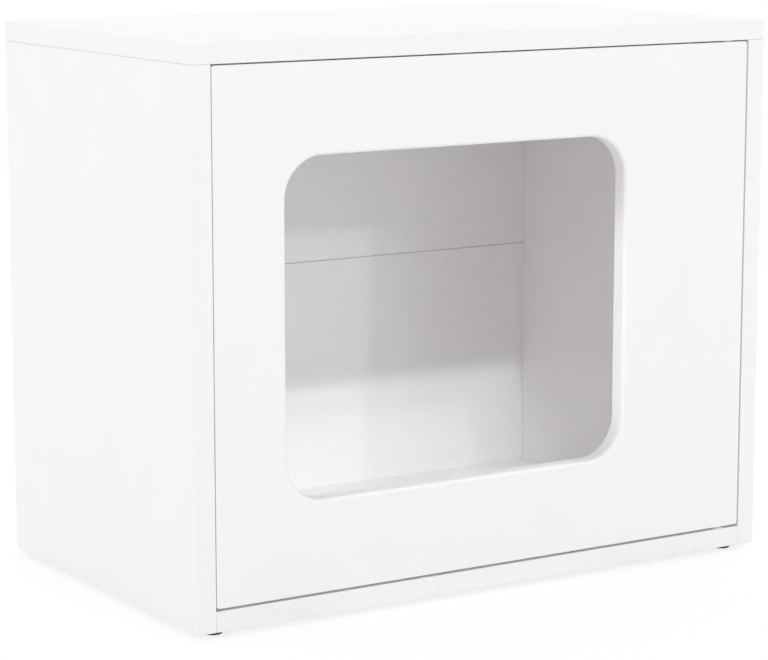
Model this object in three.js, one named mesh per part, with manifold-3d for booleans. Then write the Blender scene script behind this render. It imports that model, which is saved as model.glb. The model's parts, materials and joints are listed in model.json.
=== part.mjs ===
// A cat litter box cabinet: a box of white boards on four low feet, with one inset door that has a
// rounded entrance and turns on two pivot pins near its right edge.
// Millimetres. X runs across the front to the right, Y from the front to the back and Z up.
// The origin is on the floor, under the middle of the cabinet.
import * as THREE from "three";
import { RoundedBoxGeometry } from "three/addons/geometries/RoundedBoxGeometry.js";
import { mergeVertices } from "three/addons/utils/BufferGeometryUtils.js";
import Module from "manifold-3d";

const wasm = await Module();
wasm.setup();

// ---- Driving dimensions ----

// Carcass
const WIDTH = 600;
const HEIGHT = 500; // from the floor to the upper face of the top panel
const BOARD_DEPTH = 354; // from the front edges to the rear edges of the thick boards
const TOP_THICKNESS = 18;
const SIDE_THICKNESS = 18;
const BOTTOM_THICKNESS = 18;
const SEAM = 0.1; // joint between two boards that meet
const EDGE_SOFTENING = 0.6; // chamfer along every edge of a thick board

// Back boards
const BACK_THICKNESS = 3;
const BACK_INSET = 1.5; // from the carcass outline to the edges of the back boards
const BACK_SEAM = 0.4; // between the upper and the lower back board
const BACK_SOFTENING = 0.2;

// Door
const DOOR_THICKNESS = 16;
const FREE_GAP = 0.8; // between the door and the left side panel
const PIVOT_GAP = 1.8; // between the door and the right side panel
const UPPER_GAP = 1.3;
const LOWER_GAP = 2.3;
const DOOR_CORNER_RADIUS = 2.5;

// Entrance, placed by the frame that is left around it
const LEFT_STILE = 69.2;
const RIGHT_STILE = 138.2;
const LOWER_RAIL = 81.7;
const UPPER_RAIL = 78.7;
const ENTRANCE_RADIUS = 37;
const FRONT_ROUNDING = 3.5; // rounding of the entrance's front edge
const BACK_ROUNDING = 1.5;

// Feet
const FOOT_HEIGHT = 5;
const FOOT_RADIUS = 8.5;
const FOOT_CHAMFER = 0.8;
const FOOT_FROM_SIDE = 24; // from the cabinet's side to the foot's centre
const FOOT_FROM_EDGE = 18; // from the front or rear edge to the foot's centre
const FOOT_PEG_RADIUS = 3;
const FOOT_PEG_LENGTH = 11;

// Pivot pins, their bushes and the thrust washer
const PIVOT_INSET = 20; // from the door's right edge to the pin's axis
const PIN_RADIUS = 2.5;
const PIN_CHAMFER = 0.5;
const PIN_IN_DOOR = 20;
const PIN_IN_BUSH = 8.5;
const PIN_RUNNING_FIT = 0.07; // radial, between the pin and its bush
const BUSH_RADIUS = 4.5;
const BUSH_DEPTH = 9.5;
const BUSH_FLANGE_RADIUS = 7;
const BUSH_FLANGE = 0.8;
const WASHER_RADIUS = 6;
const WASHER_PLAY = 0.3; // left between the washer and the door

// Cam locks, their bolts and the dowels beside them
const FITTING_FROM_EDGE = 60; // from the front or rear edge to the bolt's axis
const DOWEL_FROM_BOLT = 32;
const CAM_RADIUS = 7.4;
const CAM_BELOW_BOLT = 3.4; // how far the cam reaches past the bolt's axis
const CAM_SLOT_LENGTH = 9;
const CAM_SLOT_WIDTH = 1.5;
const CAM_SLOT_DEPTH = 1.8;
const BOLT_REACH = 24; // from the joint to the cam's axis
const BOLT_HEAD_RADIUS = 3;
const BOLT_HEAD_LENGTH = 3;
const BOLT_NECK_RADIUS = 1.8;
const BOLT_NECK_LENGTH = 5;
const BOLT_SHANK_RADIUS = 3;
const BOLT_THREAD_RADIUS = 2.6;
const BOLT_COVER = 7; // board left past the thread's tip
const DOWEL_RADIUS = 4;
const DOWEL_LENGTH = 30;
const DOWEL_COVER = 6; // board left past the dowel's end
const DOWEL_CHAMFER = 0.8;

// Countersunk screws
const SCREW_HEAD_RADIUS = 3;
const SCREW_HEAD_DEPTH = 1.6;
const SCREW_SHANK_RADIUS = 1.5;
const SCREW_TIP = 2;
const BACK_SCREW_LENGTH = 16;
const BACK_SCREW_MARGIN = 60; // from a back board's edge to its side screws
const CATCH_SCREW_LENGTH = 14;
const STRIKE_SCREW_LENGTH = 11;

// Magnetic catch and the steel plate that it holds
const CATCH_PROJECTION = 18;
const CATCH_DEPTH = 16;
const CATCH_BODY_LENGTH = 28;
const CATCH_LENGTH = 48;
const CATCH_EAR_THICKNESS = 3;
const CATCH_EAR_DEPTH = 11;
const CATCH_WALL = 2.5; // behind the magnet
const CATCH_SOFTENING = 0.8;
const MAGNET_THICKNESS = 6;
const MAGNET_LENGTH = 20;
const POLE_THICKNESS = 1.5;
const POLE_PROUD = 0.6; // how far the pole plates stand out of the housing
const CATCH_GAP = 0.3; // between the pole plates and the strike plate
const STRIKE_WIDTH = 10;
const STRIKE_LENGTH = 36;
const STRIKE_THICKNESS = 1.2;
const STRIKE_SOFTENING = 0.3;

// Clearances of pieces that sit in a hole or a pocket
const HOLE_CLEARANCE = 0.1;
const RECESS = 0.2; // how far a cam or a screw head lies below the face around it
const POCKET_CLEARANCE = 0.5; // around a bolt's head inside its cam
const CUT_PAST = 1; // how far a cutter runs past the face that it opens

// Steps round a full circle, where no other stretch is named
const PIN_STEPS = 36;
const WIDE_STEPS = 24;
const NARROW_STEPS = 10;
const DOOR_CORNER_STEPS = 4; // per quarter
const ENTRANCE_CORNER_STEPS = 8; // per quarter
const FRONT_ROUNDING_STEPS = 4; // across the rounding
const BACK_ROUNDING_STEPS = 2; // across the rounding
const EDGE_STEPS = 1; // across a softened edge

const WELD_DISTANCE = 1e-4; // points of a solid that lie closer together are one

// ---- Derived planes ----

const FRONT = -(BOARD_DEPTH + SEAM + BACK_THICKNESS) / 2;
const REAR = FRONT + BOARD_DEPTH; // rear edges of the thick boards
const RIGHT = WIDTH / 2;
const INNER_RIGHT = RIGHT - SIDE_THICKNESS;
const TOP_UNDERSIDE = HEIGHT - TOP_THICKNESS;
const BOTTOM_FACE = FOOT_HEIGHT + BOTTOM_THICKNESS; // the cabin's floor
const DOOR_LEFT = -INNER_RIGHT + FREE_GAP;
const DOOR_RIGHT = INNER_RIGHT - PIVOT_GAP;
const DOOR_LOW = BOTTOM_FACE + LOWER_GAP;
const DOOR_HIGH = TOP_UNDERSIDE - UPPER_GAP;
const DOOR_BACK = FRONT + DOOR_THICKNESS;
const PIVOT_X = DOOR_RIGHT - PIVOT_INSET;
const PIVOT_Y = FRONT + DOOR_THICKNESS / 2;
const CATCH_Z = (DOOR_LOW + DOOR_HIGH) / 2;

// ---- Materials ----

function material(color, roughness, metalness = 0) {
  return new THREE.MeshStandardMaterial({ color, roughness, metalness });
}
const MATERIALS = {
  board: material(0xedeced, 0.45),
  door: material(0xedebec, 0.4),
  back: material(0xecebec, 0.6),
  foot: material(0x2b2b2d, 0.6),
  steel: material(0xb9bcc0, 0.3, 1),
  zinc: material(0xa9abae, 0.42, 1),
  nylon: material(0xe6e5e0, 0.5),
  beech: material(0xcfa878, 0.7),
  ferrite: material(0x3a3a3c, 0.8),
};

// ---- Solids ----

function toSolid(geometry) {
  const bare = new THREE.BufferGeometry();
  bare.setAttribute("position", geometry.getAttribute("position"));
  bare.setIndex(geometry.getIndex());
  const merged = mergeVertices(bare, WELD_DISTANCE);
  const mesh = new wasm.Mesh({
    numProp: 3,
    vertProperties: merged.getAttribute("position").array,
    triVerts: new Uint32Array(merged.getIndex().array),
  });
  return new wasm.Manifold(mesh);
}

function toGeometry(solid) {
  const mesh = solid.getMesh();
  const geometry = new THREE.BufferGeometry();
  geometry.setAttribute("position", new THREE.BufferAttribute(mesh.vertProperties, 3));
  geometry.setIndex(new THREE.BufferAttribute(mesh.triVerts, 1));
  geometry.computeVertexNormals();
  return geometry;
}

// The geometry without the volumes of the cutters.
function cut(geometry, cutters) {
  const cutAll = (solid, cutter) => solid.subtract(toSolid(cutter));
  return toGeometry(cutters.reduce(cutAll, toSolid(geometry)));
}

function join(first, second) {
  return toGeometry(toSolid(first).add(toSolid(second)));
}

// Turns a geometry that is made along +Z so that it runs along another direction.
const UP = new THREE.Vector3(0, 0, 1);
function towards(direction) {
  return new THREE.Quaternion().setFromUnitVectors(UP, new THREE.Vector3(...direction));
}

// A geometry placed at a point and turned from +Z to a direction, for use as a cutter.
function placed(geometry, at, direction = [0, 0, 1]) {
  return geometry.applyQuaternion(towards(direction)).translate(...at);
}

// A solid of revolution about +Z from [radius, height] pairs that start and end on the axis.
function turned(profile, steps) {
  const points = profile.map(([radius, height]) => new THREE.Vector2(radius, height));
  return new THREE.LatheGeometry(points, steps).rotateX(Math.PI / 2);
}

// A plain rod along +Z, from one height to another.
function rod(radius, low, high, steps) {
  return turned([[0, low], [radius, low], [radius, high], [0, high]], steps);
}

// A ring about +Z.
function ring(inner, outer, low, high, steps) {
  const profile = [[inner, low], [outer, low], [outer, high], [inner, high], [inner, low]];
  return turned(profile, steps);
}

function box(size, softening) {
  return new RoundedBoxGeometry(...size, EDGE_STEPS, softening);
}

// ---- Scene graph ----

const cabinet = new THREE.Group();
const door = new THREE.Group();
cabinet.add(door);

function addMesh(name, geometry, look, at, direction = [0, 0, 1], group = cabinet) {
  const mesh = new THREE.Mesh(geometry, MATERIALS[look].clone());
  mesh.name = name;
  mesh.position.set(...at);
  mesh.quaternion.copy(towards(direction));
  group.add(mesh);
}

// A board between two corners. Its cutters are given in the cabinet's frame.
function addBoard(name, low, high, look, softening, cutters) {
  const size = high.map((value, i) => value - low[i]);
  const centre = high.map((value, i) => (value + low[i]) / 2);
  const toBoard = centre.map((value) => -value);
  const local = cutters.map((cutter) => cutter.translate(...toBoard));
  addMesh(name, cut(box(size, softening), local), look, centre);
}

// ---- Corner joints: where each bolt, cam and dowel goes ----

const SIDES = [["left", -1], ["right", 1]];
const PLACES = [
  ["front", FRONT + FITTING_FROM_EDGE, 1],
  ["rear", REAR - FITTING_FROM_EDGE, -1],
];

// Every joint has a point on the joint plane, a direction into the board that takes the bolt's
// thread, and the direction in which the cam's slotted face looks.
function cornerJoints() {
  const joints = [];
  for (const [side, sign] of SIDES) {
    for (const [place, y, inwards] of PLACES) {
      joints.push({
        name: `top_${side}_${place}`,
        edgeBoard: `${side}_side`,
        faceBoard: "top",
        at: [sign * (RIGHT - SIDE_THICKNESS / 2), y, TOP_UNDERSIDE],
        direction: [0, 0, 1],
        camFace: [-sign, 0, 0],
        edgeThickness: SIDE_THICKNESS,
        faceThickness: TOP_THICKNESS,
        inwards,
      });
      joints.push({
        name: `bottom_${side}_${place}`,
        edgeBoard: "bottom",
        faceBoard: `${side}_side`,
        at: [sign * INNER_RIGHT, y, FOOT_HEIGHT + BOTTOM_THICKNESS / 2],
        direction: [sign, 0, 0],
        camFace: [0, 0, -1],
        edgeThickness: BOTTOM_THICKNESS,
        faceThickness: SIDE_THICKNESS,
        inwards,
      });
    }
  }
  return joints;
}
const JOINTS = cornerJoints();

// The point at a distance along a direction from another point.
function along(at, direction, distance) {
  return at.map((value, i) => value + direction[i] * distance);
}

const camCentre = (joint) => along(joint.at, joint.direction, -BOLT_REACH);
const camMouth = (joint) => along(camCentre(joint), joint.camFace, joint.edgeThickness / 2);
const camDepth = (joint) => joint.edgeThickness / 2 + CAM_BELOW_BOLT;
const dowelPoint = (joint) => along(joint.at, [0, joint.inwards, 0], DOWEL_FROM_BOLT);
const threadLength = (joint) => joint.faceThickness - BOLT_COVER;
const dowelInFace = (joint) => joint.faceThickness - DOWEL_COVER;

// The holes that a joint needs in the board whose edge it goes into.
function edgeCutters(joint) {
  const camRadius = CAM_RADIUS + HOLE_CLEARANCE;
  const camHole = rod(camRadius, -camDepth(joint) - HOLE_CLEARANCE, CUT_PAST, WIDE_STEPS);
  const boltRadius = BOLT_SHANK_RADIUS + HOLE_CLEARANCE;
  const boltHole = rod(boltRadius, -BOLT_REACH, CUT_PAST, NARROW_STEPS);
  const dowelRadius = DOWEL_RADIUS + HOLE_CLEARANCE;
  const dowelReach = DOWEL_LENGTH - dowelInFace(joint) + HOLE_CLEARANCE;
  const dowelHole = rod(dowelRadius, -dowelReach, CUT_PAST, NARROW_STEPS);
  return [
    placed(camHole, camMouth(joint), joint.camFace),
    placed(boltHole, joint.at, joint.direction),
    placed(dowelHole, dowelPoint(joint), joint.direction),
  ];
}

// The holes that a joint needs in the board whose face it goes into.
function faceCutters(joint) {
  const threadRadius = BOLT_THREAD_RADIUS + HOLE_CLEARANCE;
  const threadReach = threadLength(joint) + HOLE_CLEARANCE;
  const threadHole = rod(threadRadius, -CUT_PAST, threadReach, NARROW_STEPS);
  const dowelRadius = DOWEL_RADIUS + HOLE_CLEARANCE;
  const dowelReach = dowelInFace(joint) + HOLE_CLEARANCE;
  const dowelHole = rod(dowelRadius, -CUT_PAST, dowelReach, NARROW_STEPS);
  return [
    placed(threadHole, joint.at, joint.direction),
    placed(dowelHole, dowelPoint(joint), joint.direction),
  ];
}

function jointCutters(board) {
  const inEdge = JOINTS.filter((joint) => joint.edgeBoard === board).flatMap(edgeCutters);
  const inFace = JOINTS.filter((joint) => joint.faceBoard === board).flatMap(faceCutters);
  return [...inEdge, ...inFace];
}

function addCamBolt(joint) {
  const headEnd = -BOLT_REACH - BOLT_HEAD_LENGTH / 2;
  const neckStart = headEnd + BOLT_HEAD_LENGTH;
  const shankStart = neckStart + BOLT_NECK_LENGTH;
  const tip = threadLength(joint);
  const profile = [
    [0, headEnd],
    [BOLT_HEAD_RADIUS, headEnd],
    [BOLT_NECK_RADIUS, neckStart],
    [BOLT_NECK_RADIUS, shankStart],
    [BOLT_SHANK_RADIUS, shankStart],
    [BOLT_SHANK_RADIUS, 0],
    [BOLT_THREAD_RADIUS, 0],
    [BOLT_THREAD_RADIUS, tip - BOLT_THREAD_RADIUS],
    [0, tip],
  ];
  const geometry = turned(profile, NARROW_STEPS);
  addMesh(`cam_bolt_${joint.name}`, geometry, "steel", joint.at, joint.direction);
}

// The cam's own +Z looks out of its hole. The bolt comes in from the side of the joint.
function addCam(joint) {
  const depth = camDepth(joint);
  const body = rod(CAM_RADIUS, -depth, -RECESS, WIDE_STEPS);
  const turn = towards(joint.camFace).invert();
  const boltWay = new THREE.Vector3(...joint.direction).applyQuaternion(turn).toArray();
  const pocketRadius = BOLT_HEAD_RADIUS + POCKET_CLEARANCE;
  const pocketEnd = -BOLT_HEAD_LENGTH / 2 - POCKET_CLEARANCE;
  const pocket = rod(pocketRadius, pocketEnd, CAM_RADIUS + CUT_PAST, NARROW_STEPS);
  const slotCentre = [0, 0, -RECESS];
  const slot = new THREE.BoxGeometry(CAM_SLOT_LENGTH, CAM_SLOT_WIDTH, 2 * CAM_SLOT_DEPTH);
  const crossSlot = new THREE.BoxGeometry(CAM_SLOT_WIDTH, CAM_SLOT_LENGTH, 2 * CAM_SLOT_DEPTH);
  const cutters = [
    placed(pocket, [0, 0, -joint.edgeThickness / 2], boltWay),
    placed(slot, slotCentre),
    placed(crossSlot, slotCentre),
  ];
  addMesh(`cam_${joint.name}`, cut(body, cutters), "zinc", camMouth(joint), joint.camFace);
}

function addDowel(joint) {
  const high = dowelInFace(joint);
  const low = high - DOWEL_LENGTH;
  const tipRadius = DOWEL_RADIUS - DOWEL_CHAMFER;
  const profile = [
    [0, low],
    [tipRadius, low],
    [DOWEL_RADIUS, low + DOWEL_CHAMFER],
    [DOWEL_RADIUS, high - DOWEL_CHAMFER],
    [tipRadius, high],
    [0, high],
  ];
  const geometry = turned(profile, NARROW_STEPS);
  addMesh(`dowel_${joint.name}`, geometry, "beech", dowelPoint(joint), joint.direction);
}

// ---- Countersunk screws: +Z comes out of the head ----

function screw(length) {
  const profile = [
    [0, -length],
    [SCREW_SHANK_RADIUS, SCREW_TIP - length],
    [SCREW_SHANK_RADIUS, -SCREW_HEAD_DEPTH - RECESS],
    [SCREW_HEAD_RADIUS, -RECESS],
    [0, -RECESS],
  ];
  return turned(profile, NARROW_STEPS);
}

function screwCutter(length) {
  const shank = SCREW_SHANK_RADIUS + HOLE_CLEARANCE;
  const head = SCREW_HEAD_RADIUS + HOLE_CLEARANCE;
  const profile = [
    [0, -length - HOLE_CLEARANCE],
    [shank, -length - HOLE_CLEARANCE],
    [shank, -SCREW_HEAD_DEPTH - RECESS],
    [head, -RECESS],
    [head, CUT_PAST],
    [0, CUT_PAST],
  ];
  return turned(profile, NARROW_STEPS);
}

// ---- Back boards ----

const BACK_PLANE = REAR + SEAM;
const BACK_FACE = BACK_PLANE + BACK_THICKNESS;
const BACK_LOW = FOOT_HEIGHT + BACK_INSET;
const BACK_HIGH = HEIGHT - BACK_INSET;
const BACK_MIDDLE = (BACK_LOW + BACK_HIGH) / 2;
const BACK_SPANS = [
  ["upper", BACK_MIDDLE + BACK_SEAM / 2, BACK_HIGH, TOP_UNDERSIDE + TOP_THICKNESS / 2],
  ["lower", BACK_LOW, BACK_MIDDLE - BACK_SEAM / 2, FOOT_HEIGHT + BOTTOM_THICKNESS / 2],
];

// Each back board has two screws in each side panel and one in the top or the bottom panel.
function backScrewPoints() {
  const column = RIGHT - SIDE_THICKNESS / 2;
  const points = [];
  for (const [span, low, high, edgeZ] of BACK_SPANS) {
    const rows = [["high", high - BACK_SCREW_MARGIN], ["low", low + BACK_SCREW_MARGIN]];
    for (const [side, sign] of SIDES) {
      for (const [row, z] of rows) {
        points.push([`${span}_${side}_${row}`, [sign * column, BACK_FACE, z]]);
      }
    }
    points.push([`${span}_middle`, [0, BACK_FACE, edgeZ]]);
  }
  return points;
}
const BACK_SCREWS = backScrewPoints();
const BACKWARDS = [0, 1, 0];

const inRange = (value, [low, high]) => value > low && value < high;

// Cutters for the back screws whose axes lie inside a board's width and height.
function backScrewCutters(spanX, spanZ) {
  const inside = ([, [x, , z]]) => inRange(x, spanX) && inRange(z, spanZ);
  const cutter = ([, point]) => placed(screwCutter(BACK_SCREW_LENGTH), point, BACKWARDS);
  return BACK_SCREWS.filter(inside).map(cutter);
}

function addBackBoards() {
  const spanX = [BACK_INSET - RIGHT, RIGHT - BACK_INSET];
  for (const [span, low, high] of BACK_SPANS) {
    const from = [spanX[0], BACK_PLANE, low];
    const to = [spanX[1], BACK_FACE, high];
    const cutters = backScrewCutters(spanX, [low, high]);
    addBoard(`${span}_back_board`, from, to, "back", BACK_SOFTENING, cutters);
  }
  for (const [name, point] of BACK_SCREWS) {
    addMesh(`back_screw_${name}`, screw(BACK_SCREW_LENGTH), "steel", point, BACKWARDS);
  }
}

// ---- Carcass ----

const DOWNWARDS = [0, 0, -1];

// The hole in a board's face for a pivot bush, which is pressed in from the door's side.
function bushCutter(z, direction) {
  const reach = BUSH_DEPTH + HOLE_CLEARANCE;
  const hole = rod(BUSH_RADIUS + HOLE_CLEARANCE, -CUT_PAST, reach, WIDE_STEPS);
  return placed(hole, [PIVOT_X, PIVOT_Y, z], direction);
}

function addTopPanel() {
  const spanX = [-RIGHT, RIGHT];
  const spanZ = [TOP_UNDERSIDE, HEIGHT];
  const cutters = [
    ...jointCutters("top"),
    ...backScrewCutters(spanX, spanZ),
    bushCutter(TOP_UNDERSIDE, UP.toArray()),
  ];
  const from = [spanX[0], FRONT, spanZ[0]];
  const to = [spanX[1], REAR, spanZ[1]];
  addBoard("top_panel", from, to, "board", EDGE_SOFTENING, cutters);
}

function footPoints() {
  const points = [];
  for (const [side, sign] of SIDES) {
    const x = sign * (RIGHT - FOOT_FROM_SIDE);
    points.push([`front_${side}`, [x, FRONT + FOOT_FROM_EDGE, FOOT_HEIGHT]]);
    points.push([`rear_${side}`, [x, REAR - FOOT_FROM_EDGE, FOOT_HEIGHT]]);
  }
  return points;
}

function addBottomPanel() {
  const edge = INNER_RIGHT - SEAM;
  const spanX = [-edge, edge];
  const spanZ = [FOOT_HEIGHT, BOTTOM_FACE];
  const pegReach = FOOT_PEG_LENGTH + HOLE_CLEARANCE;
  const pegHole = ([, point]) =>
    placed(rod(FOOT_PEG_RADIUS + HOLE_CLEARANCE, -CUT_PAST, pegReach, WIDE_STEPS), point);
  const cutters = [
    ...jointCutters("bottom"),
    ...backScrewCutters(spanX, spanZ),
    ...footPoints().map(pegHole),
    bushCutter(BOTTOM_FACE, DOWNWARDS),
  ];
  const from = [spanX[0], FRONT, spanZ[0]];
  const to = [spanX[1], REAR, spanZ[1]];
  addBoard("bottom_panel", from, to, "board", EDGE_SOFTENING, cutters);
}

const EAR_SCREW_OFFSET = (CATCH_BODY_LENGTH + CATCH_LENGTH) / 4; // the middle of each ear
const STRIKE_BACK = DOOR_BACK + SEAM + STRIKE_THICKNESS;
const POLE_FRONT = STRIKE_BACK + CATCH_GAP;
const CATCH_FRONT = POLE_FRONT + POLE_PROUD;
const EAR_BACK = CATCH_FRONT + CATCH_DEPTH;
const CATCH_WALL_X = SEAM - INNER_RIGHT; // where the catch meets the left side panel
const EAR_FACE_X = CATCH_WALL_X + CATCH_EAR_THICKNESS;
const EAR_MIDDLE_Y = EAR_BACK - CATCH_EAR_DEPTH / 2;
const RIGHTWARDS = [1, 0, 0];

function catchScrewPoints() {
  return [
    ["upper", [EAR_FACE_X, EAR_MIDDLE_Y, CATCH_Z + EAR_SCREW_OFFSET]],
    ["lower", [EAR_FACE_X, EAR_MIDDLE_Y, CATCH_Z - EAR_SCREW_OFFSET]],
  ];
}

function catchScrewCutters() {
  const cutter = ([, point]) => placed(screwCutter(CATCH_SCREW_LENGTH), point, RIGHTWARDS);
  return catchScrewPoints().map(cutter);
}

function addSidePanels() {
  for (const [side, sign] of SIDES) {
    const spanX = [sign * RIGHT, sign * INNER_RIGHT].sort((a, b) => a - b);
    const spanZ = [FOOT_HEIGHT, TOP_UNDERSIDE - SEAM];
    const cutters = [
      ...jointCutters(`${side}_side`),
      ...backScrewCutters(spanX, spanZ),
      ...(side === "left" ? catchScrewCutters() : []),
    ];
    const from = [spanX[0], FRONT, spanZ[0]];
    const to = [spanX[1], REAR, spanZ[1]];
    addBoard(`${side}_side_panel`, from, to, "board", EDGE_SOFTENING, cutters);
  }
}

function addFeet() {
  const profile = [
    [0, -FOOT_HEIGHT],
    [FOOT_RADIUS - FOOT_CHAMFER, -FOOT_HEIGHT],
    [FOOT_RADIUS, FOOT_CHAMFER - FOOT_HEIGHT],
    [FOOT_RADIUS, -SEAM],
    [FOOT_PEG_RADIUS, -SEAM],
    [FOOT_PEG_RADIUS, FOOT_PEG_LENGTH],
    [0, FOOT_PEG_LENGTH],
  ];
  for (const [name, point] of footPoints()) {
    addMesh(`foot_${name}`, turned(profile, WIDE_STEPS), "foot", point);
  }
}

// ---- Door ----

// The outline of a rectangle with rounded corners, anticlockwise from lower left.
function roundedRectangle(low, high, radius) {
  const [x0, z0] = low.map((value) => value + radius);
  const [x1, z1] = high.map((value) => value - radius);
  const quarter = Math.PI / 2;
  const shape = new THREE.Shape();
  shape.absarc(x0, z0, radius, 2 * quarter, 3 * quarter);
  shape.absarc(x1, z0, radius, 3 * quarter, 4 * quarter);
  shape.absarc(x1, z1, radius, 0, quarter);
  shape.absarc(x0, z1, radius, quarter, 2 * quarter);
  return shape;
}

// The plain door, with its outline in X and Z and its thickness along Y, in the cabinet's frame.
function doorSlab() {
  const low = [DOOR_LEFT, DOOR_LOW];
  const high = [DOOR_RIGHT, DOOR_HIGH];
  const outline = roundedRectangle(low, high, DOOR_CORNER_RADIUS);
  const slab = new THREE.ExtrudeGeometry(outline, {
    depth: DOOR_THICKNESS - 2 * EDGE_SOFTENING,
    bevelThickness: EDGE_SOFTENING,
    bevelSize: EDGE_SOFTENING,
    bevelOffset: -EDGE_SOFTENING,
    bevelSegments: 1,
    curveSegments: DOOR_CORNER_STEPS,
  });
  return slab.rotateX(Math.PI / 2).translate(0, DOOR_BACK - EDGE_SOFTENING, 0);
}

// How far the entrance widens at each depth behind the door's front: [depth, widening] pairs.
function entranceProfile() {
  const profile = [[-CUT_PAST, FRONT_ROUNDING]];
  for (let i = 0; i <= FRONT_ROUNDING_STEPS; i++) {
    const angle = (Math.PI / 2) * (i / FRONT_ROUNDING_STEPS);
    profile.push([FRONT_ROUNDING * (1 - Math.cos(angle)), FRONT_ROUNDING * (1 - Math.sin(angle))]);
  }
  for (let i = 0; i <= BACK_ROUNDING_STEPS; i++) {
    const angle = (Math.PI / 2) * (i / BACK_ROUNDING_STEPS);
    const fromBack = BACK_ROUNDING * (1 - Math.sin(angle));
    profile.push([DOOR_THICKNESS - fromBack, BACK_ROUNDING * (1 - Math.cos(angle))]);
  }
  profile.push([DOOR_THICKNESS + CUT_PAST, BACK_ROUNDING]);
  return profile;
}

// A closed solid through rings of points that all go round the same way.
function loft(rings) {
  const count = rings[0].length;
  const positions = rings.flat(2);
  const triangles = [];
  for (let level = 0; level + 1 < rings.length; level++) {
    for (let i = 0; i < count; i++) {
      const next = (i + 1) % count;
      const near = level * count;
      const far = near + count;
      triangles.push(near + i, near + next, far + next);
      triangles.push(near + i, far + next, far + i);
    }
  }
  const last = (rings.length - 1) * count;
  for (let i = 1; i + 1 < count; i++) {
    triangles.push(0, i + 1, i);
    triangles.push(last, last + i, last + i + 1);
  }
  const geometry = new THREE.BufferGeometry();
  geometry.setAttribute("position", new THREE.Float32BufferAttribute(positions, 3));
  geometry.setIndex(triangles);
  return geometry;
}

// The volume of the entrance, which widens towards both faces of the door.
function entranceCutter() {
  const low = [DOOR_LEFT + LEFT_STILE, DOOR_LOW + LOWER_RAIL];
  const high = [DOOR_RIGHT - RIGHT_STILE, DOOR_HIGH - UPPER_RAIL];
  const rings = entranceProfile().map(([depth, widening]) => {
    const from = low.map((value) => value - widening);
    const to = high.map((value) => value + widening);
    const outline = roundedRectangle(from, to, ENTRANCE_RADIUS + widening);
    const points = outline.extractPoints(ENTRANCE_CORNER_STEPS).shape;
    return points.map(({ x, y }) => [x, FRONT + depth, y]);
  });
  return loft(rings.map((points) => points.slice().reverse()));
}

function pinHole(z, direction) {
  const reach = PIN_IN_DOOR + HOLE_CLEARANCE;
  const hole = rod(PIN_RADIUS + HOLE_CLEARANCE, -CUT_PAST, reach, WIDE_STEPS);
  return placed(hole, [PIVOT_X, PIVOT_Y, z], direction);
}

const STRIKE_X = CATCH_WALL_X + CATCH_PROJECTION - STRIKE_WIDTH / 2;
const STRIKE_POINT = [STRIKE_X, STRIKE_BACK, CATCH_Z];

function addDoor() {
  const cutters = [
    entranceCutter(),
    pinHole(DOOR_HIGH, DOWNWARDS),
    pinHole(DOOR_LOW, UP.toArray()),
    placed(screwCutter(STRIKE_SCREW_LENGTH), STRIKE_POINT, BACKWARDS),
  ];
  addMesh("door_panel", cut(doorSlab(), cutters), "door", [0, 0, 0], UP.toArray(), door);
}

function addPin(name, doorEdge, boardFace, direction) {
  const gap = Math.abs(boardFace - doorEdge);
  const tip = gap + PIN_IN_BUSH;
  const profile = [
    [0, -PIN_IN_DOOR],
    [PIN_RADIUS, -PIN_IN_DOOR],
    [PIN_RADIUS, tip - PIN_CHAMFER],
    [PIN_RADIUS - PIN_CHAMFER, tip],
    [0, tip],
  ];
  const at = [PIVOT_X, PIVOT_Y, doorEdge];
  addMesh(`${name}_pivot_pin`, turned(profile, PIN_STEPS), "steel", at, direction, door);
}

// A flanged bush that is open at both ends. Its +Z goes into the board.
function addBush(name, boardFace, direction) {
  const bore = PIN_RADIUS + PIN_RUNNING_FIT;
  const profile = [
    [bore, -BUSH_FLANGE],
    [BUSH_FLANGE_RADIUS, -BUSH_FLANGE],
    [BUSH_FLANGE_RADIUS, -SEAM],
    [BUSH_RADIUS, -SEAM],
    [BUSH_RADIUS, BUSH_DEPTH],
    [bore, BUSH_DEPTH],
    [bore, -BUSH_FLANGE],
  ];
  const at = [PIVOT_X, PIVOT_Y, boardFace];
  addMesh(`${name}_pivot_bush`, turned(profile, PIN_STEPS), "nylon", at, direction);
}

function addPivots() {
  addPin("upper", DOOR_HIGH, TOP_UNDERSIDE, UP.toArray());
  addPin("lower", DOOR_LOW, BOTTOM_FACE, DOWNWARDS);
  addBush("upper", TOP_UNDERSIDE, UP.toArray());
  addBush("lower", BOTTOM_FACE, DOWNWARDS);
  const low = BOTTOM_FACE + BUSH_FLANGE + SEAM;
  const bore = PIN_RADIUS + 2 * HOLE_CLEARANCE;
  const thickness = DOOR_LOW - WASHER_PLAY - low;
  const washer = ring(bore, WASHER_RADIUS, 0, thickness, WIDE_STEPS);
  addMesh("pivot_washer", washer, "nylon", [PIVOT_X, PIVOT_Y, low]);
}

// ---- Magnetic catch ----

const STACK_CLEARANCE = 0.1; // between the magnet and each pole plate
const STACK_THICKNESS = MAGNET_THICKNESS + 2 * (POLE_THICKNESS + STACK_CLEARANCE);
const POCKET_DEPTH = CATCH_DEPTH - CATCH_WALL;
const POLE_LENGTH = MAGNET_LENGTH + 2 * HOLE_CLEARANCE;

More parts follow.
